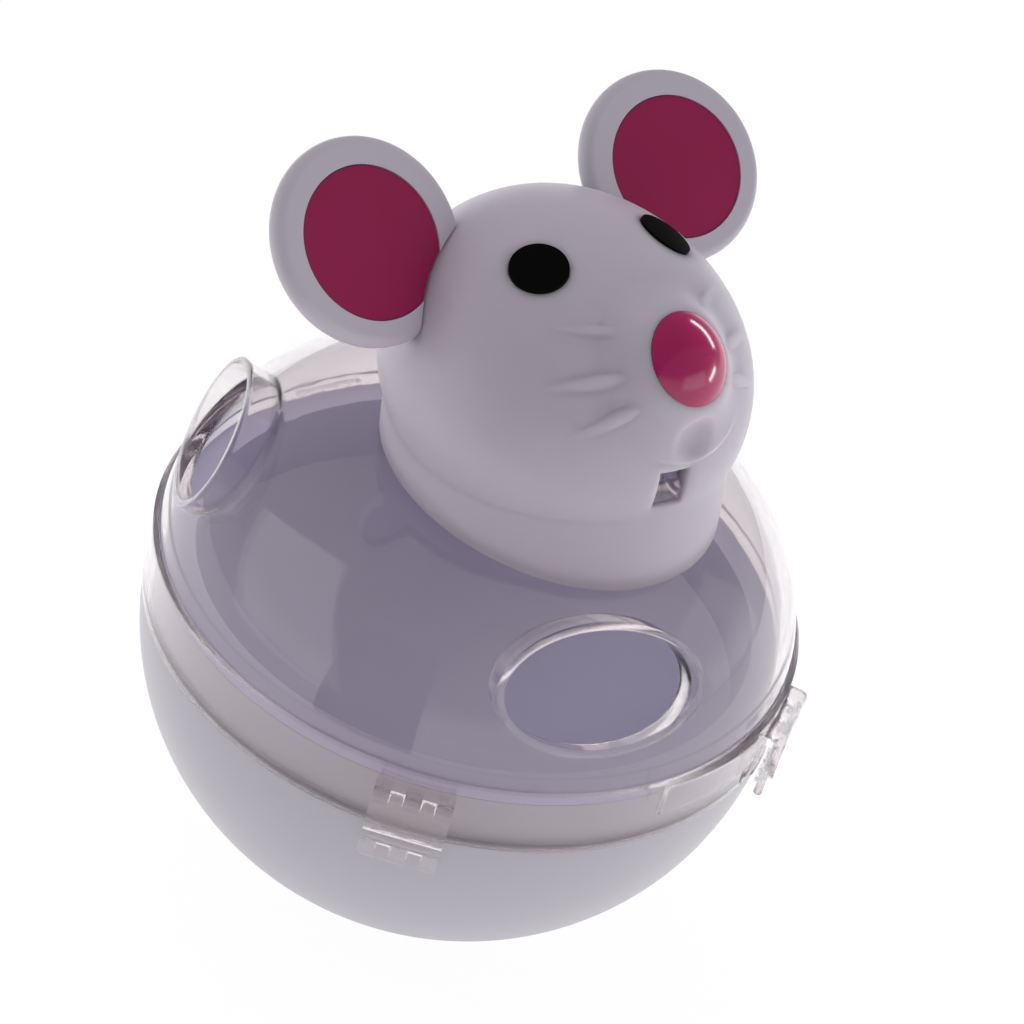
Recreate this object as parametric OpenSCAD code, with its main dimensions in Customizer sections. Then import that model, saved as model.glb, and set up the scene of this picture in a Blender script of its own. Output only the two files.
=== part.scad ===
// Roly-poly mouse treat ball: a weighted bowl with an inner tray, a clear dome
// with hooded treat holes and snap clips, and a hollow mouse head on the dome.
// Millimetres, +Z up. The origin is the centre of the flat under the bowl.
// The mouse looks towards -Y and up, and its left ear is on the +X side.
// Bearings round the ball are degrees from -Y, positive towards +X.

/* [Ball] */
// Outer diameter of the dome's skirt, the widest part of the ball
skirt_d = 70; // [66:1:76]
// Height of the parting line between bowl and dome
part_z = 32.8; // [32:0.1:34]
// Height of the tray's rim inside the dome
rim_z = 39.2; // [38.5:0.1:39.4]
// Radius of the arc that forms the bowl's outside
bowl_arc = 33; // [32:0.5:34]
// Wall of the bowl
bowl_wall = 2.2; // [1.8:0.1:2.6]
// How much of the bowl's round bottom is cut flat
foot_cut = 0.3; // [0.2:0.05:0.5]
// Radius of the arc that forms the dome's outside
dome_arc = 22; // [21:0.5:24]
// Wall of the dome
dome_wall = 1.6; // [1.4:0.1:1.8]

/* [Treat holes] */
// Bearings of the hooded holes
hole_bearings = [-21.5, -131.5, 103.5];
// Half the width of a hole's lip
lip_a = 11; // [9:0.25:11.5]
// Half the height of a hole's lip
lip_b = 6.8; // [6.4:0.1:7]
// Distance of the lip's centre from the ball's axis
lip_r = 30.8; // [30.6:0.1:31.2]
// Height of the lip's centre
lip_z = 50.6; // [50.4:0.1:51]
// Angle above level that the lip faces
lip_tilt = 25; // [23:1:28]
// Wall of the hood at its lip
lip_wall = 0.7; // [0.6:0.1:0.9]

/* [Clips] */
// Bearings of the snap clips
clip_bearings = [-49.6, 29.5, 170];
// Width of a clip
clip_w = 8; // [7:0.5:9]
// Top of a clip
clip_top = 38.6; // [38.4:0.1:39]
// Bottom of a clip
clip_bottom = 29.6; // [29:0.1:30]
// How far a clip stands out from the skirt
clip_out = 1.95; // [1.95:0.05:2.4]

/* [Head] */
// Radius of the egg-shaped head, seen along its short axis
head_r = 19.4; // [19:0.1:19.7]
// Half the head's thickness along its short axis
head_h = 15.3; // [15:0.1:15.6]
// How far the short axis leans forward from upright
head_lean = 18.2; // [16:0.2:20]
// Wall of the head
head_wall = 1.8; // [1.6:0.1:2]
// Head's centre in front of the ball's axis
head_fwd = 3.2; // [3:0.1:3.4]
// Height of the head's centre
head_z = 69.1; // [68.8:0.1:69.4]
// Radius of the neck under the head
neck_r = 17.8; // [17.4:0.1:18]
// How far the neck leans forward on its way down
neck_lean = 9.1; // [8:0.1:10]
// Angle above level of the nose, seen from the head's centre
nose_tilt = 35.4; // [34:0.2:37]
// Radius of the nose button
nose_r = 4.7; // [4.4:0.1:5]
// Height of the nose button over its seat
nose_h = 2.3; // [2:0.1:2.6]
// Radius of an eye button
eye_r = 2.9; // [2.6:0.1:3.2]
// Bearing of the eyes, on both sides
eye_bearing = 87.6; // [84:0.2:89]
// Angle above level of the eyes, seen from the head's centre
eye_tilt = 58.7; // [57:0.2:60]

/* [Ears] */
// Half the width of an ear plate
ear_a = 11.34; // [11:0.1:11.6]
// Half the height of an ear plate
ear_b = 10.22; // [9.8:0.1:10.6]
// Thickness of an ear plate
ear_t = 2.2; // [2:0.1:2.6]
// Centre of the left ear's front face
ear_c = [20.12, 7.2, 82.1];
// Angle above level that the ears face
ear_tilt = 46; // [44:1:48]
// How far the ears turn in towards the nose
ear_toe = 5.5; // [4:0.5:7]
// Half the width of the coloured inlay
inlay_a = 8.33; // [8:0.1:8.6]
// Half the height of the coloured inlay
inlay_b = 7.57; // [7.2:0.1:7.9]

/* [Hidden] */
$fn = 96;

// Clearances: lid over bowl, faces that seat, and pressed-in pieces
lid_gap = 0.3;
seat_gap = 0.1;
press_gap = 0.1;
far = 60;

// Skirt and spigot
skirt_r = skirt_d / 2;
skirt_wall = 1.4;
skirt_top = 40.4;
skirt_in = skirt_r - skirt_wall;
spigot_r = skirt_in - lid_gap;
spigot_wall = 1.6;
spigot_in = spigot_r - spigot_wall;

// Bowl
bowl_r = skirt_r - 0.2;
bowl_cr = bowl_r - bowl_arc;
bowl_cz = bowl_arc - foot_cut;
bowl_top = part_z - seat_gap;
spigot_root = bowl_top - 6;
bead_r = 0.6;
bead_z = 31.6;
bead_proud = 0.2;
bead_angle = 11;

// Tray
flange_t = 1.15;
spigot_top = rim_z - flange_t - 0.05;
tray_r = spigot_in - 0.2;
tray_wall = 1.3;
tray_in = tray_r - tray_wall;
tray_crease = 31.5;
dish_r = 40;
dish_t = 1.5;
dish_cz = tray_crease + sqrt(dish_r * dish_r - tray_in * tray_in);
hold_r = 10.5;
hold_wall = 1.5;

// Ballast
puck_r = 15.4;
puck_h = 8;
puck_z = 5.65;
puck_hole = 2.8;
puck_edge = 1;
post_r = 2.5;
post_top = 12;
seat_r = 11;
seat_wall = 2;

// Dome
dome_cr = skirt_r - 0.2 - dome_arc;
dome_cz = 36.8;
dome_step = rim_z + 0.4;
pad_from = -7;
pad_angle = 23;
pad_low = 36.4;
pad_high = 40.2;
pad_proud = 0.35;
hood_depth = 12;
hood_draft = 0.5;

// Clip
plate_t = 0.9;
plate_out = skirt_r + clip_out;
plate_in = plate_out - plate_t;
plate_step = 0.5;
plate_knee = 32.4;
flange_low = clip_top - 1.4;
corner_r = 0.9;
nib_w = 1.4;
nib_h = 1.3;
nib_pitch = 3.2;
nib_in = bowl_r + bead_proud + lid_gap / 2;
window_w = 1.5;
window_pitch = 3.2;

// Head
head_c = [0, -head_fwd, head_z];
head_axis = [0, -sin(head_lean), cos(head_lean)];
head_side = [0, cos(head_lean), sin(head_lean)];
side_r = 13;
cap_r = (pow(head_r - side_r, 2) + head_h * head_h - side_r * side_r) / (2 * (head_h - side_r));

// Neck ring, and the hook that snaps into the chin's slot
ring_fwd = 4.8;
ring_r = 14.6;
ring_wall = 1.4;
ring_top = 61;
hook_bearing = -7;
hook_w = 3.3;
hook_top = 70;
nib_low = 66;
nib_tip = 67.2;
nib_top = 69.6;
nib_reach = 17;
slot_w = 3.9;
slot_low = 65.7;
slot_high = 69.9;

// Soft dent of the mouth
mouth_tilt = 9.4;
mouth_r = 6;
mouth_depth = 0.45;
mouth_flat = 0.7;

// Snout: a ball round the nose, with a fillet to the head's own curve there
snout_r = 9;
snout_rise = 2.7;
snout_fillet = 12;
cheek_r = 21.7;

// Embossed whiskers: bearing and angle above level of each end on the left cheek
whiskers = [
    [[14, 46], [60, 42.5]],
    [[20.6, 33], [66, 18]],
    [[17, 25], [54, 4]]
];
whisker_r = 0.9;
whisker_front = 0.1;
whisker_mid = 0.6;
whisker_end = 0.95;

// Nose and eyes
nose_seat = 1.3;
nose_ball = (nose_r * nose_r + nose_h * nose_h) / (2 * nose_h);
nose_stem = 2.2;
eye_sunk = 0.9;
eye_h = 0.25;
eye_ball = (eye_r * eye_r + eye_h * eye_h) / (2 * eye_h);
eye_stem = 1;
stem_in = head_wall + 1.6;

// Ears
inlay_off = [0.22, -0.28];
inlay_t = 0.5;
inlay_sunk = 0.15;
tab_w = 8;
tab_t = 1.2;
tab_z = -1.5;
ear_w = [cos(-ear_toe), sin(-ear_toe), 0];
ear_n = [sin(-ear_toe) * cos(ear_tilt), -cos(ear_toe) * cos(ear_tilt), sin(ear_tilt)];
ear_u = cross(ear_n, ear_w);
to_head = [(head_c - ear_c) * ear_w, (head_c - ear_c) * ear_u];
tab_turn = atan2(to_head[1], to_head[0]);
tab_from = norm(to_head) - head_r - 0.5;
tab_to = norm(to_head) - head_r + 3.6;

white = [0.9, 0.88, 0.92];
magenta = [0.62, 0.1, 0.28];

// Unit vector of a bearing and an angle above level
function ray(bearing, tilt) =
    [sin(bearing) * cos(tilt), -cos(bearing) * cos(tilt), sin(tilt)];

// Turns a piece modelled on -Y to a bearing
module at_bearing(bearing) {
    rotate([0, 0, bearing]) children();
}

// Point of the head's surface that lies in a direction from its centre
function head_point(d) =
    head_c + d / norm([d[0] / head_r, d * head_side / head_r, d * head_axis / head_h]);

// Unit vector square to the head's surface in that direction
function head_normal(d) =
    let (n = [d[0], 0, 0] + (d * head_side) * head_side
        + (d * head_axis) * pow(head_r / head_h, 2) * head_axis)
    n / norm(n);

// Local origin on the head's surface, with +Z pointing out of it
module on_head(bearing, tilt) {
    d = ray(bearing, tilt);
    n = head_normal(d);
    translate(head_point(d))
        at_bearing(atan2(n[0], -n[1])) rotate([90 - asin(n[2]), 0, 0]) children();
}

// Egg of the head, grown or shrunk all round: an oval of four arcs, spun on its axis
module head_egg(grow = 0) {
    meet = (head_r - side_r) * (cap_r + grow) / (cap_r - side_r);
    translate(head_c)
        rotate([head_lean, 0, 0])
            rotate_extrude() {
                arc_band(side_r + grow, head_r - side_r, 0, -far, far);
                intersection() {
                    translate([0, head_h - cap_r]) circle(cap_r + grow);
                    translate([0, cap_r - head_h]) circle(cap_r + grow);
                    translate([0, -far]) square([meet, 2 * far]);
                }
            }
}

// Leaning neck, from the head's centre down into the dome
module neck(r) {
    translate(head_c)
        rotate([-neck_lean, 0, 0])
            translate([0, 0, dome_cz - head_z]) cylinder(r = r, h = head_z - dome_cz);
}

module mirrored(flip) {
    mirror([flip ? 1 : 0, 0, 0]) children();
}

// Half a disc beside the axis, cut to a band of heights
module arc_band(r, cx, cy, low, high) {
    intersection() {
        translate([cx, cy]) circle(r);
        translate([0, low]) square([far, high - low]);
    }
}

// Upright prism on an oval with half axes a and b, narrower at its foot by a draft
module oval(a, b, h, draft = 0) {
    scale([1, b / a, 1]) cylinder(r1 = a - draft, r2 = a, h = h);
}

// Bowl, with its spigot, the ballast's seat and a catch under each clip
module bowl_solid() {
    rotate_extrude() {
        arc_band(bowl_arc, bowl_cr, bowl_cz, 0, bowl_top);
        square([bowl_cr, bowl_top]);
        translate([0, spigot_root]) square([spigot_r, spigot_top - spigot_root]);
    }
}

module bowl_hollow() {
    hollow_arc = bowl_arc - bowl_wall;
    floor_z = bowl_cz - hollow_arc;
    rotate_extrude() {
        intersection() {
            arc_band(hollow_arc, bowl_cr, bowl_cz, floor_z, bowl_cz);
            square([spigot_in, far]);
        }
        translate([0, floor_z]) square([bowl_cr, far]);
        translate([0, bowl_cz - 3]) square([spigot_in, far]);
    }
}

module catch_bead(bearing) {
    at_bearing(bearing - bead_angle / 2 - 90)
        rotate_extrude(angle = bead_angle)
            translate([bowl_r + bead_proud - bead_r, bead_z]) circle(bead_r);
}

module bowl() {
    color(white) {
        difference() {
            union() {
                bowl_solid();
                for (b = clip_bearings) catch_bead(b);
            }
            bowl_hollow();
        }
        intersection() {
            bowl_solid();
            union() {
                difference() {
                    cylinder(r = seat_r, h = puck_z - 0.05);
                    cylinder(r = seat_r - seat_wall, h = far, center = true);
                }
                cylinder(r = post_r, h = post_top);
            }
        }
    }
}

// Steel puck, chamfered, on the seat ring and round the post
module ballast_weight() {
    puck_top = puck_z + puck_h;
    color([0.45, 0.46, 0.48])
        rotate_extrude()
            polygon([
                [puck_hole, puck_z], [puck_r - puck_edge, puck_z], [puck_r, puck_z + puck_edge],
                [puck_r, puck_top - puck_edge], [puck_r - puck_edge, puck_top], [puck_hole, puck_top]
            ]);
}

// Dished inner floor that hangs on the spigot by its rim and holds the puck down
module treat_tray() {
    hold_z = puck_z + puck_h + 0.05;
    color(white)
        rotate_extrude() {
            translate([tray_in, spigot_top + 0.05])
                square([spigot_r - tray_in, flange_t]);
            translate([tray_in, tray_crease])
                square([tray_wall, spigot_top + 0.05 - tray_crease]);
            difference() {
                arc_band(dish_r + dish_t, 0, dish_cz, 0, tray_crease);
                translate([0, dish_cz]) circle(dish_r);
                translate([tray_r, 0]) square([far, far]);
            }
            difference() {
                translate([hold_r - hold_wall, hold_z]) square([hold_wall, far / 10]);
                translate([0, dish_cz]) circle(dish_r + dish_t / 2);
            }
        }
}

// Outside of the dome
module dome_solid() {
    rotate_extrude() {
        arc_band(dome_arc, dome_cr, dome_cz, dome_cz, far);
        translate([0, part_z]) square([dome_cr, dome_cz + dome_arc - part_z]);
        translate([0, part_z]) square([skirt_r, skirt_top - part_z]);
    }
}

// Shoulder of the dome with a clearance, to which the neck is trimmed
module dome_seat() {
    rotate_extrude() arc_band(dome_arc + seat_gap, dome_cr, dome_cz, dome_cz, far);
}

// Inside of the dome, stepped out over the spigot
module dome_hollow() {
    hollow_arc = dome_arc - dome_wall;
    rotate_extrude() {
        arc_band(hollow_arc, dome_cr, dome_cz, dome_cz, far);
        translate([0, part_z - 1]) square([dome_cr, dome_cz + hollow_arc - part_z + 1]);
        translate([0, part_z - 1]) square([skirt_in, dome_step - part_z + 1]);
    }
}

// Local +Z points out of a treat hole, from the middle of its lip
module on_lip(bearing) {
    at_bearing(bearing)
        translate([0, -lip_r, lip_z])
            rotate([90 - lip_tilt, 0, 0]) children();
}

module hood(bearing) {
    on_lip(bearing) translate([0, 0, -hood_depth]) oval(lip_a, lip_b, hood_depth);
}

module hood_bore(bearing) {
    on_lip(bearing)
        translate([0, 0, -hood_depth - 1])
            oval(lip_a - lip_wall, lip_b - lip_wall, hood_depth + 2, hood_draft);
}

// Snap clip: top flange with two windows, stepped plate and two nibs
module clip(bearing) {
    knee_out = plate_out - plate_step;
    knee_in = plate_in - plate_step;
    end_r = plate_t / 2;
    at_bearing(bearing - 90) difference() {
        union() {
            rotate([90, 0, 0]) linear_extrude(clip_w, center = true) {
                translate([skirt_in + 0.4, flange_low])
                    square([plate_out - corner_r - skirt_in - 0.4, clip_top - flange_low]);
                translate([plate_in, plate_knee])
                    square([plate_t, clip_top - corner_r - plate_knee]);
                translate([plate_out - corner_r, clip_top - corner_r]) circle(corner_r);
                translate([knee_in, clip_bottom + end_r])
                    square([plate_t, plate_knee + 0.6 - clip_bottom - end_r]);
                translate([knee_in + end_r, clip_bottom + end_r]) circle(end_r);
            }
            for (s = [-1, 1])
                translate([nib_in, s * nib_pitch / 2 - nib_w / 2, clip_bottom + 0.2])
                    cube([knee_out - 0.3 - nib_in, nib_w, nib_h]);
        }
        for (s = [-1, 1])
            translate([skirt_r, s * window_pitch / 2 - window_w / 2, flange_low - 1])
                cube([plate_in - skirt_r, window_w, far / 10]);
    }
}

// Raised pad on the skirt beside a clip
module skirt_pad() {
    at_bearing(pad_from - 90)
        rotate_extrude(angle = pad_angle)
            translate([skirt_in + 0.4, pad_low])
                square([skirt_r + pad_proud - skirt_in - 0.4, pad_high - pad_low]);
}

// Hook that rises inside the head and snaps into the chin's slot
module hook() {
    translate([0, -ring_fwd, 0]) at_bearing(hook_bearing) {
        translate([-hook_w / 2, -ring_r + 0.25, ring_top - 1])
            cube([hook_w, ring_wall - 0.4, hook_top - ring_top + 1]);
        rotate([90, 0, 90])
            linear_extrude(hook_w, center = true)
                polygon([
                    [-ring_r + 0.6, nib_low], [-nib_reach, nib_low],
                    [-nib_reach, nib_tip], [-ring_r + 0.6, nib_top]
                ]);
    }
}

module neck_ring() {
    translate([0, -ring_fwd, 0])
        difference() {
            cylinder(r = ring_r, h = ring_top);
            cylinder(r = ring_r - ring_wall, h = far * 2);
        }
}

module clear_dome() {
    color([0.93, 0.9, 0.95, 0.35])
        difference() {
            union() {
                dome_solid();
                skirt_pad();
                for (b = hole_bearings) hood(b);
                for (b = clip_bearings) clip(b);
                neck_ring();
                hook();
            }
            dome_hollow();
            translate([0, 0, -1]) cylinder(r = skirt_in, h = part_z);
            for (b = hole_bearings) hood_bore(b);
        }
}

// Low ridge on the head, which runs into the snout in front and sinks in at the back
module whisker(from, to) {
    d0 = ray(from[0], from[1]);
    d1 = ray(to[0], to[1]);
    p0 = head_point(d0) - whisker_front * head_normal(d0);
    p1 = head_point(d1) - whisker_end * head_normal(d1);
    pm = head_point(d0 + d1) - whisker_mid * head_normal(d0 + d1);
    u = pm - p0;
    v = p1 - p0;
    w = cross(u, v);
    c = p0 + (cross(w, u) * (v * v) + cross(v, w) * (u * u)) / (2 * (w * w));
    x = (p0 - c) / norm(p0 - c);
    k = w / norm(w);
    y = cross(k, x);
    multmatrix([
        [x[0], y[0], k[0], c[0]],
        [x[1], y[1], k[1], c[1]],
        [x[2], y[2], k[2], c[2]],
        [0, 0, 0, 1]
    ])
        rotate_extrude(angle = atan2((p1 - c) * y, (p1 - c) * x))
            translate([norm(p0 - c), 0]) circle(whisker_r);
}

// Snout round the nose, faired into the head
module snout() {
    ball_z = snout_rise - snout_r;
    a = snout_r + snout_fillet;
    b = cheek_r + snout_fillet;
    fz = ((b * b - a * a) - cheek_r * cheek_r + ball_z * ball_z) / (2 * (cheek_r + ball_z));
    fx = sqrt(a * a - pow(fz - ball_z, 2));
    on_head(0, nose_tilt) {
        translate([0, 0, ball_z]) sphere(snout_r);
        rotate_extrude() difference() {
            polygon([[0, ball_z], [0, -cheek_r], [fx, fz]]);
            translate([fx, fz]) circle(snout_fillet);
        }
    }
}

module head_slot() {
    translate([0, -ring_fwd, 0])
        at_bearing(hook_bearing)
            translate([-slot_w / 2, -far, slot_low])
                cube([slot_w, far - ring_r + 1, slot_high - slot_low]);
}

module ear_place() {
    translate(ear_c) rotate([90 - ear_tilt, 0, -ear_toe]) children();
}

module ear_tab(gap) {
    ear_place()
        rotate([0, 0, tab_turn])
            translate([tab_from, -tab_w / 2 - gap, tab_z - tab_t / 2 - gap])
                cube([tab_to - tab_from + gap, tab_w + 2 * gap, tab_t + 2 * gap]);
}

// Hollow head with a snout, open at the neck
module head_shell() {
    color(white)
        difference() {
            union() {
                head_egg();
                neck(neck_r);
                snout();
                for (flip = [false, true])
                    mirrored(flip)
                        for (w = whiskers) whisker(w[0], w[1]);
            }
            head_egg(-head_wall);
            neck(neck_r - head_wall);
            dome_seat();
            cylinder(r = far, h = part_z + 10);
            head_slot();
            on_head(0, mouth_tilt)
                translate([0, 0, mouth_r - mouth_depth])
                    scale([1, mouth_flat, 1]) sphere(mouth_r);
            on_head(0, nose_tilt) {
                translate([0, 0, nose_seat]) cylinder(r = nose_r + press_gap, h = far);
                translate([0, 0, -far / 2]) cylinder(r = nose_stem + press_gap, h = far);
            }
            for (flip = [false, true])
                mirrored(flip) {
                    on_head(eye_bearing, eye_tilt) {
                        translate([0, 0, -eye_sunk]) cylinder(r = eye_r + press_gap, h = far);
                        translate([0, 0, -stem_in]) cylinder(r = eye_stem + press_gap, h = far);
                    }
                    ear_tab(press_gap);
                }
        }
}

// Ear plate with a rounded rim, a recess for its inlay and a tab into the head
module ear(flip) {
    mirrored(flip)
        color(white) {
            difference() {
                ear_place()
                    difference() {
                        scale([1, ear_b / ear_a, 1])
                            translate([0, 0, -ear_t])
                                rotate_extrude() {
                                    square([ear_a - ear_t / 2, ear_t]);
                                    translate([ear_a - ear_t / 2, ear_t / 2]) circle(ear_t / 2);
                                }
                        translate([inlay_off[0], inlay_off[1], -inlay_t - inlay_sunk])
                            scale([1, inlay_b / inlay_a, 1])
                                cylinder(r = inlay_a, h = far);
                    }
                head_egg(press_gap);
            }
            ear_tab(0);
        }
}

module inlay(flip) {
    mirrored(flip)
        color(magenta)
            difference() {
                ear_place()
                    translate([inlay_off[0], inlay_off[1], -inlay_t - inlay_sunk + 0.02])
                        scale([1, inlay_b / inlay_a, 1])
                            cylinder(r = inlay_a - press_gap, h = inlay_t);
                head_egg(2 * press_gap);
            }
}

module left_ear() {
    ear(false);
}

module right_ear() {
    ear(true);
}

module left_ear_inlay() {
    inlay(false);
}

module right_ear_inlay() {
    inlay(true);
}

// Nose button with a stem into the head
module nose() {
    color(magenta)
        on_head(0, nose_tilt) {
            intersection() {
                translate([0, 0, nose_seat + nose_h - nose_ball]) sphere(nose_ball);
                translate([0, 0, nose_seat + 0.02]) cylinder(r = nose_r, h = far);
            }
            translate([0, 0, -stem_in]) cylinder(r = nose_stem, h = stem_in + nose_seat + 0.5);
        }
}

// Domed eye button with a stem into the head
module eye(flip) {
    mirrored(flip)
        color([0.03, 0.03, 0.03])
            on_head(eye_bearing, eye_tilt) {
                intersection() {
                    translate([0, 0, eye_h - eye_ball]) sphere(eye_ball);
                    translate([0, 0, -eye_sunk + 0.02]) cylinder(r = eye_r, h = far);
                }
                translate([0, 0, -stem_in]) cylinder(r = eye_stem, h = stem_in);
            }
}

module left_eye() {
    eye(false);
}

module right_eye() {
    eye(true);
}

bowl();
ballast_weight();
treat_tray();
clear_dome();
head_shell();
left_ear();
right_ear();
left_ear_inlay();
right_ear_inlay();
nose();
left_eye();
right_eye();
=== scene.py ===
import math

import bpy
from mathutils import Matrix, Quaternion, Vector

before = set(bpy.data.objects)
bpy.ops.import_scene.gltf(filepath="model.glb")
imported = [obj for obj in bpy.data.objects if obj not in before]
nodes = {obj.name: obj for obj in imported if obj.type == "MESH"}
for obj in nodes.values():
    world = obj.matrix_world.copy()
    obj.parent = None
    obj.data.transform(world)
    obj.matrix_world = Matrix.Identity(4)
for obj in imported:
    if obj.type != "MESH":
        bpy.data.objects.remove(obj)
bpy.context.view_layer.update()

scene = bpy.context.scene
scene.view_settings.view_transform = "Standard"

MM = 0.001

# Colours of the toy's pieces, linear
WHITE_MOULDING = (0.475, 0.438, 0.5, 1)
BOWL_MOULDING = (0.44, 0.42, 0.465, 1)
TRAY_MOULDING = (0.45, 0.435, 0.58, 1)
MAGENTA_INLAY = (0.275, 0.012, 0.07, 1)
MAGENTA_NOSE = (0.33, 0.012, 0.086, 1)
BLACK_EYE = (0.002, 0.0025, 0.0018, 1)
BALLAST_STEEL = (0.5, 0.5, 0.52, 1)

# Clear dome: colour of its surface, of its body in depth and of the light that it lets through
CLEAR_SURFACE = (0.95, 0.915, 0.925, 1)
CLEAR_BODY = (0.83, 0.79, 0.82, 1)
CLEAR_SHADOW = (0.93, 0.9, 0.9, 1)
CLEAR_DENSITY = 100.0
CLEAR_IOR = 1.2
CLEAR_COAT_IOR = 1.5

# Depths of relief and radii of soft edges, in metres
GRAIN_DEPTH = 0.02 * MM
RUBBED_DEPTH = 0.3 * MM
GLOW_DEPTH = 4 * MM
HEAD_SOFT_EDGE = 2.5 * MM
DOME_SOFT_EDGE = 0.8 * MM

# Camera: angles in degrees, places in millimetres, focal length in pixels of the photograph
CAMERA_BEARING = -50.22
CAMERA_RISE = 36.18
CAMERA_ROLL = 16.69
CAMERA_DISTANCE = 300.5
CAMERA_TARGET_HEIGHT = 48.18
CAMERA_RIGHT_OFFSET = 1.44
CAMERA_UP_OFFSET = -0.43
FOCAL_PIXELS = 2876.6
PHOTO_SIDE = 1024
SENSOR_WIDTH = 36.0

# Lamps, in metres
LAMP_DISTANCE = 0.9
LAMP_TARGET = (0, 0, 45 * MM)

# Room light: directions that it changes towards, and its strengths
TOWARDS_FRONT = (0.34, -0.94, 0.0)
TOWARDS_CAMERA = (-0.56, -0.47, 0.68)
TOWARDS_CROWN = (-0.4, 0.6, 0.69)
TOWARDS_WINDOW = (0.1, -0.99, 0.0)
ROOM_TINT = (0.98, 0.97, 1, 1)
REAR_LEVEL, FRONT_LEVEL = 0.58, 0.92
CAMERA_SIDE_SHARE = 0.15
CROWN_GAIN = 2.3
MIRRORED_CEILING = 0.3
MIRRORED_SIDES = 0.45

# Floor
FLOOR_HALF = 4.0
FLOOR_DROP = 0.1 * MM
FLOOR_PAPER = (0.9, 0.9, 0.9, 1)
FLOOR_GLOW_TINT = (1, 0.99, 1, 1)
FLOOR_GLOW = 0.42
FLOOR_WHITE_SHARE = 0.93

# Black card: bearings of its two edges in degrees, the rest in metres
FLAG_BEARINGS = (-85, -54)
FLAG_DISTANCE = 0.2
FLAG_LOW, FLAG_HIGH = 0.001, 0.19
FLAG_VELVET = (0.01, 0.01, 0.01, 1)


def add(tree, kind, **settings):
    """New node in a tree with its properties set."""
    made = tree.nodes.new(kind)
    for key, value in settings.items():
        setattr(made, key, value)
    return made


def put(node, **values):
    """Sets a node's inputs, with spaces in their names written as underscores."""
    for key, value in values.items():
        node.inputs[key.replace("_", " ")].default_value = value


# Shader node groups that several finishes share

def new_group(name, inputs, outputs):
    """Empty shader group with named inputs and outputs."""
    group = bpy.data.node_groups.new(name, "ShaderNodeTree")
    for socket, kind, default in inputs:
        made = group.interface.new_socket(socket, in_out="INPUT", socket_type=kind)
        made.default_value = default
    for socket, kind in outputs:
        group.interface.new_socket(socket, in_out="OUTPUT", socket_type=kind)
    return group, group.nodes.new("NodeGroupInput"), group.nodes.new("NodeGroupOutput")


def moulded_skin_group():
    """Fine spark-eroded skin of a moulding: a height, a roughness and a shade of the colour."""
    group, given, result = new_group("moulded_skin", [
        ("Grain Scale", "NodeSocketFloat", 2600.0),
        ("Flow Scale", "NodeSocketFloat", 55.0),
        ("Roughness", "NodeSocketFloat", 0.35),
        ("Roughness Spread", "NodeSocketFloat", 0.08),
        ("Colour", "NodeSocketColor", (0.5, 0.5, 0.5, 1)),
        ("Shade Spread", "NodeSocketFloat", 0.05),
    ], [
        ("Colour", "NodeSocketColor"),
        ("Roughness", "NodeSocketFloat"),
        ("Height", "NodeSocketFloat"),
    ])
    link = group.links.new
    place = add(group, "ShaderNodeTexCoord")
    grain = add(group, "ShaderNodeTexNoise")
    put(grain, Detail=2.0)
    flow = add(group, "ShaderNodeTexNoise")
    put(flow, Detail=3.0)
    for texture, scale in ((grain, "Grain Scale"), (flow, "Flow Scale")):
        link(place.outputs["Object"], texture.inputs["Vector"])
        link(given.outputs[scale], texture.inputs["Scale"])
    link(grain.outputs["Fac"], result.inputs["Height"])
    centred = add(group, "ShaderNodeMath", operation="SUBTRACT")
    link(flow.outputs["Fac"], centred.inputs[0])
    centred.inputs[1].default_value = 0.5
    rough = add(group, "ShaderNodeMath", operation="MULTIPLY_ADD")
    link(centred.outputs[0], rough.inputs[0])
    link(given.outputs["Roughness Spread"], rough.inputs[1])
    link(given.outputs["Roughness"], rough.inputs[2])
    link(rough.outputs[0], result.inputs["Roughness"])
    shade = add(group, "ShaderNodeMath", operation="MULTIPLY_ADD")
    link(centred.outputs[0], shade.inputs[0])
    link(given.outputs["Shade Spread"], shade.inputs[1])
    shade.inputs[2].default_value = 1.0
    tone = add(group, "ShaderNodeVectorMath", operation="SCALE")
    link(given.outputs["Colour"], tone.inputs[0])
    link(shade.outputs[0], tone.inputs["Scale"])
    link(tone.outputs[0], result.inputs["Colour"])
    return group


def handling_marks_group():
    """Faint rubbed patches of a polished moulding: a roughness and a height."""
    group, given, result = new_group("handling_marks", [
        ("Roughness", "NodeSocketFloat", 0.03),
        ("Rubbed", "NodeSocketFloat", 0.05),
        ("Scale", "NodeSocketFloat", 40.0),
    ], [
        ("Roughness", "NodeSocketFloat"),
        ("Height", "NodeSocketFloat"),
    ])
    link = group.links.new
    place = add(group, "ShaderNodeTexCoord")
    patch = add(group, "ShaderNodeTexNoise")
    put(patch, Detail=4.0)
    link(place.outputs["Object"], patch.inputs["Vector"])
    link(given.outputs["Scale"], patch.inputs["Scale"])
    lift = add(group, "ShaderNodeMapRange")
    put(lift, From_Min=0.5, From_Max=0.75)
    link(patch.outputs["Fac"], lift.inputs["Value"])
    rough = add(group, "ShaderNodeMath", operation="MULTIPLY_ADD")
    link(lift.outputs["Result"], rough.inputs[0])
    link(given.outputs["Rubbed"], rough.inputs[1])
    link(given.outputs["Roughness"], rough.inputs[2])
    link(rough.outputs[0], result.inputs["Roughness"])
    link(patch.outputs["Fac"], result.inputs["Height"])
    return group


MOULDED_SKIN = moulded_skin_group()
HANDLING_MARKS = handling_marks_group()


# Finishes

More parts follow.
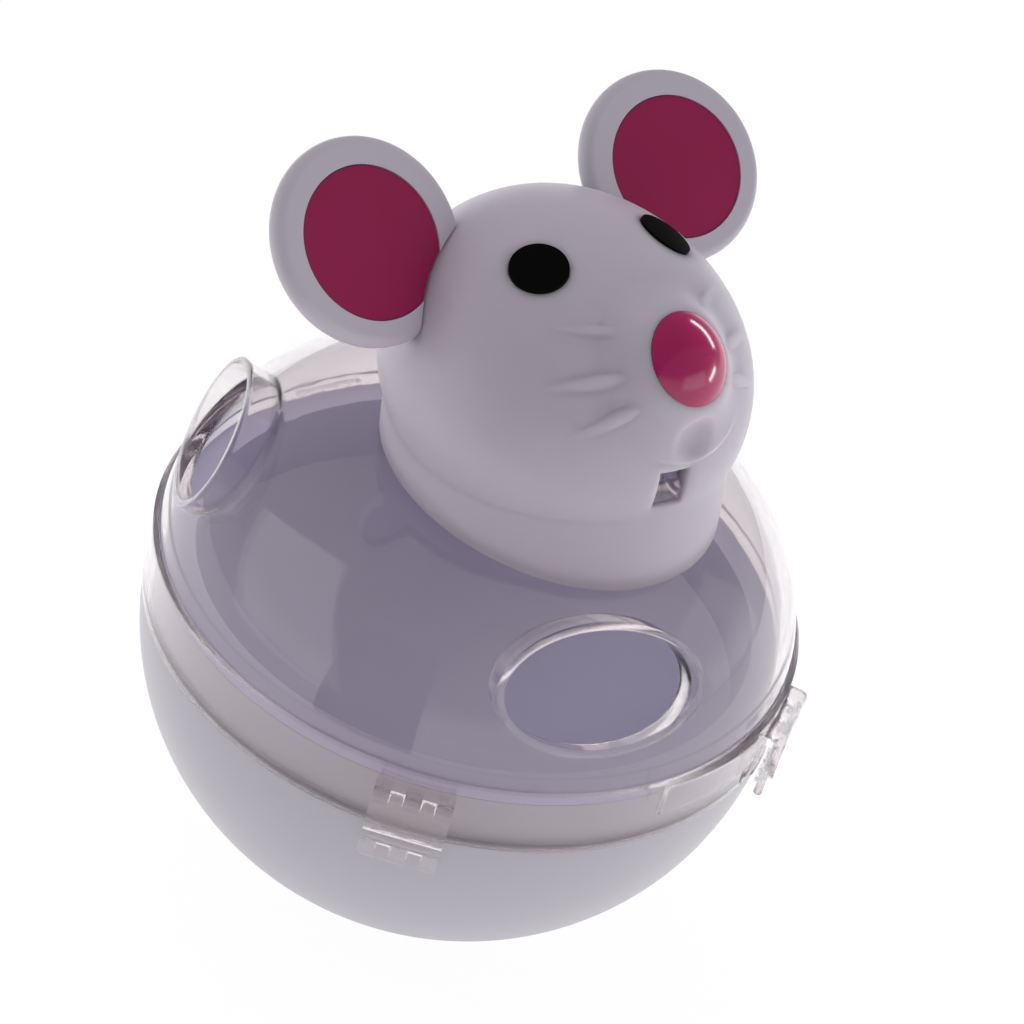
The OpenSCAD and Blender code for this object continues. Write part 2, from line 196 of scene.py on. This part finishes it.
def new_material(name):
    """Empty material with a Principled skin on its surface."""
    made = bpy.data.materials.new(name)
    made.use_nodes = True
    tree = made.node_tree
    tree.nodes.clear()
    out = add(tree, "ShaderNodeOutputMaterial")
    skin = add(tree, "ShaderNodeBsdfPrincipled")
    tree.links.new(skin.outputs[0], out.inputs["Surface"])
    return made, tree, skin, out


def mix_into(tree, share, first, second, out):
    """Shows a second shader in place of the first by a share from 0 to 1."""
    mix = add(tree, "ShaderNodeMixShader")
    tree.links.new(share, mix.inputs["Fac"])
    tree.links.new(first, mix.inputs[1])
    tree.links.new(second, mix.inputs[2])
    tree.links.new(mix.outputs[0], out)


def bump_into(tree, skin, height, strength, depth, soft_edge=0.0):
    """Fine relief on a skin, over edges that a mould rounds by a given radius."""
    bump = add(tree, "ShaderNodeBump")
    if soft_edge:
        rounded = add(tree, "ShaderNodeBevel", samples=8)
        put(rounded, Radius=soft_edge)
        tree.links.new(rounded.outputs[0], bump.inputs["Normal"])
    put(bump, Strength=strength, Distance=depth)
    tree.links.new(height, bump.inputs["Height"])
    tree.links.new(bump.outputs[0], skin.inputs["Normal"])


def moulded_plastic(name, colour, rough, grain=0.12, shade=0.05, sheen=0.5, soft_edge=0.0, glow=0.0):
    """White or coloured moulding with its fine skin; a thin one glows."""
    made, tree, skin, out = new_material(name)
    effect = add(tree, "ShaderNodeGroup", node_tree=MOULDED_SKIN)
    put(effect, Colour=colour, Roughness=rough, Roughness_Spread=0.1, Shade_Spread=shade)
    tree.links.new(effect.outputs["Colour"], skin.inputs["Base Color"])
    tree.links.new(effect.outputs["Roughness"], skin.inputs["Roughness"])
    put(skin, Specular_IOR_Level=sheen, Subsurface_Weight=glow)
    put(skin, Subsurface_Radius=(1.0, 0.9, 0.95), Subsurface_Scale=GLOW_DEPTH)
    bump_into(tree, skin, effect.outputs["Height"], grain, GRAIN_DEPTH, soft_edge)
    return made


def clear_plastic(name):
    """Clear polished moulding that lets lamp light through to what is inside."""
    made, tree, skin, out = new_material(name)
    marks = add(tree, "ShaderNodeGroup", node_tree=HANDLING_MARKS)
    put(marks, Roughness=0.04, Rubbed=0.05)
    put(skin, Base_Color=CLEAR_SURFACE, Transmission_Weight=1.0, IOR=CLEAR_IOR)
    put(skin, Coat_Weight=1.0, Coat_Roughness=0.02, Coat_IOR=CLEAR_COAT_IOR)
    tree.links.new(marks.outputs["Roughness"], skin.inputs["Roughness"])
    bump_into(tree, skin, marks.outputs["Height"], 0.03, RUBBED_DEPTH, DOME_SOFT_EDGE)
    through = add(tree, "ShaderNodeBsdfTransparent")
    put(through, Color=CLEAR_SHADOW)
    path = add(tree, "ShaderNodeLightPath")
    shadow = path.outputs["Is Shadow Ray"]
    mix_into(tree, shadow, skin.outputs[0], through.outputs[0], out.inputs["Surface"])
    body = add(tree, "ShaderNodeVolumeAbsorption")
    put(body, Color=CLEAR_BODY, Density=CLEAR_DENSITY)
    tree.links.new(body.outputs[0], out.inputs["Volume"])
    return made


def turned_steel(name):
    """Turned and plated puck."""
    made, tree, skin, out = new_material(name)
    effect = add(tree, "ShaderNodeGroup", node_tree=MOULDED_SKIN)
    put(effect, Colour=BALLAST_STEEL, Roughness=0.4, Shade_Spread=0.15)
    put(skin, Metallic=1.0)
    tree.links.new(effect.outputs["Colour"], skin.inputs["Base Color"])
    tree.links.new(effect.outputs["Roughness"], skin.inputs["Roughness"])
    bump_into(tree, skin, effect.outputs["Height"], 0.2, GRAIN_DEPTH)
    return made


def dress(material, *pieces):
    """Gives pieces of the toy their finish."""
    for piece in pieces:
        for slot in nodes[piece].material_slots:
            slot.material = material


def dress_toy():
    head = moulded_plastic("white_head_plastic", WHITE_MOULDING, 0.38, soft_edge=HEAD_SOFT_EDGE, glow=1.0)
    inlay = moulded_plastic("magenta_inlay_plastic", MAGENTA_INLAY, 0.5, shade=0.15, sheen=0.12)
    dress(head, "head_shell")
    dress(moulded_plastic("white_ear_plastic", WHITE_MOULDING, 0.38), "left_ear", "right_ear")
    dress(moulded_plastic("white_bowl_plastic", BOWL_MOULDING, 0.3), "bowl")
    dress(moulded_plastic("white_tray_plastic", TRAY_MOULDING, 0.35), "treat_tray")
    dress(inlay, "left_ear_inlay", "right_ear_inlay")
    dress(moulded_plastic("magenta_nose_plastic", MAGENTA_NOSE, 0.14, grain=0.03), "nose")
    dress(moulded_plastic("black_eye_plastic", BLACK_EYE, 0.6, sheen=0.05), "left_eye", "right_eye")
    dress(clear_plastic("clear_dome_plastic"), "clear_dome")
    dress(turned_steel("ballast_steel"), "ballast_weight")


# Camera at the photograph's viewing angle

def heading(bearing, rise):
    """Direction on a bearing from -Y towards +X and a rise above the floor, in degrees."""
    a, e = math.radians(bearing), math.radians(rise)
    return Vector((math.sin(a) * math.cos(e), -math.cos(a) * math.cos(e), math.sin(e)))


def place_camera():
    bearing, roll = math.radians(CAMERA_BEARING), math.radians(CAMERA_ROLL)
    back = heading(CAMERA_BEARING, CAMERA_RISE)
    level = Vector((math.cos(bearing), math.sin(bearing), 0))
    above = back.cross(level)
    right = math.cos(roll) * level + math.sin(roll) * above
    up = -math.sin(roll) * level + math.cos(roll) * above
    eye = Vector((0, 0, CAMERA_TARGET_HEIGHT)) + CAMERA_DISTANCE * back
    eye += CAMERA_RIGHT_OFFSET * right + CAMERA_UP_OFFSET * up
    data = bpy.data.cameras.new("photo_camera")
    data.sensor_width = SENSOR_WIDTH
    data.lens = SENSOR_WIDTH * FOCAL_PIXELS / PHOTO_SIDE
    data.clip_start, data.clip_end = 0.01, 50
    camera = bpy.data.objects.new("photo_camera", data)
    scene.collection.objects.link(camera)
    turn = Matrix((right, up, back)).transposed().to_4x4()
    camera.matrix_world = Matrix.Translation(eye * MM) @ turn
    scene.camera = camera


# White studio: world, floor, lamps and a black card

def seen_rays(tree):
    """Masks of the rays that show a backdrop through a clear piece, and off a polished one."""
    link = tree.links.new
    path = add(tree, "ShaderNodeLightPath")
    direct = add(tree, "ShaderNodeMath", operation="LESS_THAN")
    link(path.outputs["Diffuse Depth"], direct.inputs[0])
    direct.inputs[1].default_value = 0.5
    through = add(tree, "ShaderNodeMath", operation="MAXIMUM")
    link(path.outputs["Is Camera Ray"], through.inputs[0])
    link(path.outputs["Is Transmission Ray"], through.inputs[1])
    masks = []
    for source in (through.outputs[0], path.outputs["Is Glossy Ray"]):
        both = add(tree, "ShaderNodeMath", operation="MULTIPLY")
        link(source, both.inputs[0])
        link(direct.outputs[0], both.inputs[1])
        masks.append(both.outputs[0])
    return masks


def white_world():
    """Room light, strongest in front and over the crown and weak behind the camera, with a white backdrop."""
    world = bpy.data.worlds.new("white_studio")
    scene.world = world
    world.use_nodes = True
    tree = world.node_tree
    tree.nodes.clear()
    link = tree.links.new
    place = add(tree, "ShaderNodeTexCoord")
    split = add(tree, "ShaderNodeSeparateXYZ")
    link(place.outputs["Generated"], split.inputs[0])

    def ramp(source, low, high, at_low, at_high):
        made = add(tree, "ShaderNodeMapRange")
        put(made, From_Min=low, From_Max=high, To_Min=at_low, To_Max=at_high)
        link(source, made.inputs["Value"])
        return made.outputs["Result"]

    def towards(direction):
        made = add(tree, "ShaderNodeVectorMath", operation="DOT_PRODUCT")
        link(place.outputs["Generated"], made.inputs[0])
        made.inputs[1].default_value = direction
        return made.outputs["Value"]

    def product(first, second):
        made = add(tree, "ShaderNodeMath", operation="MULTIPLY")
        link(first, made.inputs[0])
        link(second, made.inputs[1])
        return made.outputs[0]

    def backdrop(tint, strength=None):
        made = add(tree, "ShaderNodeBackground")
        put(made, Color=tint)
        if strength is not None:
            link(strength, made.inputs["Strength"])
        return made.outputs[0]

    front = ramp(towards(TOWARDS_FRONT), -1.0, 1.0, REAR_LEVEL, FRONT_LEVEL)
    camera_side = ramp(towards(TOWARDS_CAMERA), 0.45, 0.95, 1.0, CAMERA_SIDE_SHARE)
    crown = ramp(towards(TOWARDS_CROWN), 0.4, 0.95, 1.0, CROWN_GAIN)
    room = backdrop(ROOM_TINT, product(product(front, camera_side), crown))
    ceiling = ramp(split.outputs["Z"], 0.12, 0.3, 1.0, MIRRORED_CEILING)
    window = ramp(towards(TOWARDS_WINDOW), 0.36, 0.5, MIRRORED_SIDES, 1.0)
    mirrored = backdrop((1, 1, 1, 1), product(ceiling, window))
    white = backdrop((1, 1, 1, 1))
    through, off = seen_rays(tree)
    out = add(tree, "ShaderNodeOutputWorld")
    shine = add(tree, "ShaderNodeMixShader")
    link(off, shine.inputs["Fac"])
    link(room, shine.inputs[1])
    link(mirrored, shine.inputs[2])
    mix_into(tree, through, shine.outputs[0], white, out.inputs["Surface"])


def stage_sheet(name, corners, material):
    """Flat four-cornered piece of the studio."""
    mesh = bpy.data.meshes.new(name)
    mesh.from_pydata(corners, [], [(0, 1, 2, 3)])
    mesh.materials.append(material)
    sheet = bpy.data.objects.new(name, mesh)
    scene.collection.objects.link(sheet)
    return sheet


def white_floor():
    """Light table: white as it is seen, with a soft glow of its own under the toy."""
    paper, tree, skin, out = new_material("floor_paper")
    put(skin, Base_Color=FLOOR_PAPER, Roughness=0.9, Specular_IOR_Level=0.1)
    put(skin, Emission_Color=FLOOR_GLOW_TINT, Emission_Strength=FLOOR_GLOW)
    white = add(tree, "ShaderNodeEmission")
    put(white, Strength=1.0)
    share = add(tree, "ShaderNodeMath", operation="MULTIPLY")
    share.inputs[1].default_value = FLOOR_WHITE_SHARE
    tree.links.new(seen_rays(tree)[0], share.inputs[0])
    mix_into(tree, share.outputs[0], skin.outputs[0], white.outputs[0], out.inputs["Surface"])
    corners = [(x * FLOOR_HALF, y * FLOOR_HALF, 0) for x, y in ((-1, -1), (1, -1), (1, 1), (-1, 1))]
    floor = stage_sheet("floor", corners, paper)
    floor.location.z = -FLOOR_DROP


def dark_flag():
    """Black card beside the toy that only shows as a dark stripe in the polished pieces."""
    velvet, tree, skin, out = new_material("flag_velvet")
    put(skin, Base_Color=FLAG_VELVET, Roughness=1.0, Specular_IOR_Level=0.0)
    left, right = [(FLAG_DISTANCE * heading(bearing, 0)).xy for bearing in FLAG_BEARINGS]
    corners = [(*left, FLAG_LOW), (*right, FLAG_LOW), (*right, FLAG_HIGH), (*left, FLAG_HIGH)]
    flag = stage_sheet("dark_flag", corners, velvet)
    for kind in ("camera", "diffuse", "transmission", "shadow"):
        setattr(flag, "visible_" + kind, False)


def soft_box(name, bearing, rise, width, height, radiance, roll=0):
    """Area lamp aimed at the toy, of a given brightness as it is seen."""
    data = bpy.data.lights.new(name, "AREA")
    data.shape = "RECTANGLE"
    data.size, data.size_y = width, height
    data.energy = radiance * math.pi * width * height
    lamp = bpy.data.objects.new(name, data)
    lamp.location = heading(bearing, rise) * LAMP_DISTANCE
    lamp.rotation_mode = "QUATERNION"
    aim = (Vector(LAMP_TARGET) - lamp.location).to_track_quat("-Z", "Y")
    lamp.rotation_quaternion = aim @ Quaternion((0, 0, 1), math.radians(roll))
    scene.collection.objects.link(lamp)
    return lamp


def light_only(lamp, piece):
    """Keeps a lamp to one piece, on which it makes a glint."""
    receivers = bpy.data.collections.new(lamp.name + "_receivers")
    receivers.objects.link(nodes[piece])
    lamp.light_linking.receiver_collection = receivers


def place_lamps():
    left = soft_box("left_soft_box", bearing=-112, rise=16, width=0.66, height=1.2, radiance=0.6, roll=35)
    left.visible_diffuse = False
    soft_box("front_soft_box", bearing=12, rise=8, width=0.7, height=0.5, radiance=1.0)
    right = soft_box("right_soft_box", bearing=62, rise=10, width=0.45, height=0.8, radiance=0.7)
    right.visible_glossy = False
    low = soft_box("low_nose_lamp", bearing=52, rise=6, width=0.3, height=0.1, radiance=14.0, roll=25)
    high = soft_box("high_nose_lamp", bearing=96, rise=28, width=0.55, height=0.11, radiance=12.0, roll=25)
    for lamp in (low, high):
        light_only(lamp, "nose")


dress_toy()
place_camera()
white_world()
white_floor()
place_lamps()
dark_flag()
